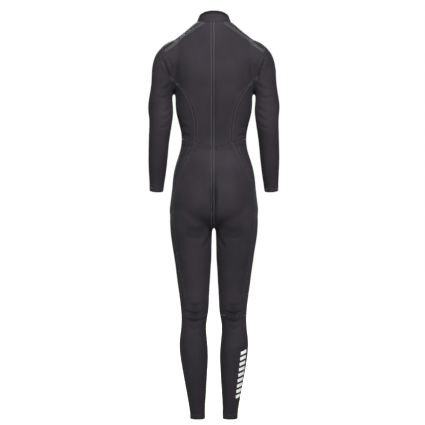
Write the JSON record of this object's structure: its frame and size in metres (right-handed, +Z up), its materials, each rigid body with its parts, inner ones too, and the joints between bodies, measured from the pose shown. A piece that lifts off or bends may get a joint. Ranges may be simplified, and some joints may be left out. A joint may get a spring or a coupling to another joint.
{
  "type": "full wetsuit",
  "caption": "Women's long-sleeved full wetsuit in dark neoprene panels with a stand-up collar and a front zip, filled out as worn.",
  "frame": {"origin": "in the neck opening, 1400 mm above the ankle hems, on the plane between front and back", "axes": "+Z up along the body, +Y to the wearer's front, +X to the wearer's right"},
  "size_m": [0.4666, 0.2394, 1.4403],
  "materials": {
    "neoprene_jersey": "fine knit",
    "smooth_skin": "satin",
    "seam_tape": "ribbed",
    "knee_rubber": "matt",
    "white_print": "matt",
    "zip_tape": "woven",
    "zip_plastic": "satin",
    "zip_metal": "satin",
    "pull_rubber": "matt"
  },
  "bodies": {
    "suit": {"back_panel_left": "neoprene_jersey", "back_panel_right": "neoprene_jersey", "collar": "neoprene_jersey", "collar_lining": "smooth_skin", "elbow_sleeve_left": "neoprene_jersey", "elbow_sleeve_right": "neoprene_jersey", "front_panel_left": "neoprene_jersey", "front_panel_right": "neoprene_jersey", "hip_panel_left": "neoprene_jersey", "hip_panel_right": "neoprene_jersey", "knee_back_lower_panel_left": "neoprene_jersey", "knee_back_lower_panel_right": "neoprene_jersey", "knee_back_upper_panel_left": "neoprene_jersey", "knee_back_upper_panel_right": "neoprene_jersey", "knee_front_panel_left": "neoprene_jersey", "knee_front_panel_right": "neoprene_jersey", "knee_pad_left": "knee_rubber", "knee_pad_right": "knee_rubber", "seat_panel_left": "neoprene_jersey", "seat_panel_right": "neoprene_jersey", "shoulder_tape_left": "seam_tape", "shoulder_tape_right": "seam_tape", "side_back_panel_left": "neoprene_jersey", "side_back_panel_right": "neoprene_jersey", "side_front_panel_left": "neoprene_jersey", "side_front_panel_right": "neoprene_jersey", "thigh_front_panel_left": "neoprene_jersey", "thigh_front_panel_right": "neoprene_jersey", "upper_sleeve_left": "neoprene_jersey", "upper_sleeve_right": "neoprene_jersey", "zip_bottom_stop": "zip_plastic", "zip_tape_left": "zip_tape", "zip_tape_right": "zip_tape", "zip_teeth_left": "zip_plastic", "zip_teeth_right": "zip_plastic", "zip_top_stops": "zip_plastic", "zip_underflap": "neoprene_jersey"},
    "forearm_left": {"forearm_sleeve_left": "neoprene_jersey", "wrist_hem_left": "neoprene_jersey"},
    "forearm_right": {"forearm_sleeve_right": "neoprene_jersey", "wrist_hem_right": "neoprene_jersey"},
    "lower_leg_left": {"ankle_hem_left": "neoprene_jersey", "calf_panel_left": "neoprene_jersey", "shin_panel_left": "neoprene_jersey"},
    "lower_leg_right": {"ankle_hem_right": "neoprene_jersey", "calf_panel_right": "neoprene_jersey", "calf_print_right": "white_print", "shin_panel_right": "neoprene_jersey"},
    "zip_slider": {"zip_slider": "zip_metal"},
    "zip_pull": {"zip_pull": "pull_rubber"}
  },
  "joints": [
    {"name": "zip_travel", "type": "hinge", "parent": "suit", "child": "zip_slider", "pos_m": [0, -0.565, -0.25], "axis": [1, 0, 0], "range_deg": [-34.01, 0]},
    {"name": "pull_swing", "type": "hinge", "parent": "zip_slider", "child": "zip_pull", "pos_m": [0, 0.07098, -0.01619], "axis": [1, 0, 0], "range_deg": [0, 140]},
    {"name": "elbow_left", "type": "hinge", "parent": "suit", "child": "forearm_left", "pos_m": [-0.188, -0.012, -0.3355], "axis": [1, 0, 0], "range_deg": [0, 90], "deforming": ["elbow_sleeve_left"]},
    {"name": "knee_left", "type": "hinge", "parent": "suit", "child": "lower_leg_left", "pos_m": [-0.069, -0.004, -1.032], "axis": [-1, 0, 0], "range_deg": [0, 90], "deforming": ["knee_back_upper_panel_left", "knee_back_lower_panel_left", "knee_front_panel_left", "knee_pad_left"]},
    {"name": "elbow_right", "type": "hinge", "parent": "suit", "child": "forearm_right", "pos_m": [0.188, -0.012, -0.3355], "axis": [1, 0, 0], "range_deg": [0, 90], "deforming": ["elbow_sleeve_right"]},
    {"name": "knee_right", "type": "hinge", "parent": "suit", "child": "lower_leg_right", "pos_m": [0.069, -0.004, -1.032], "axis": [-1, 0, 0], "range_deg": [0, 90], "deforming": ["knee_back_upper_panel_right", "knee_back_lower_panel_right", "knee_front_panel_right", "knee_pad_right"]}
  ]
}
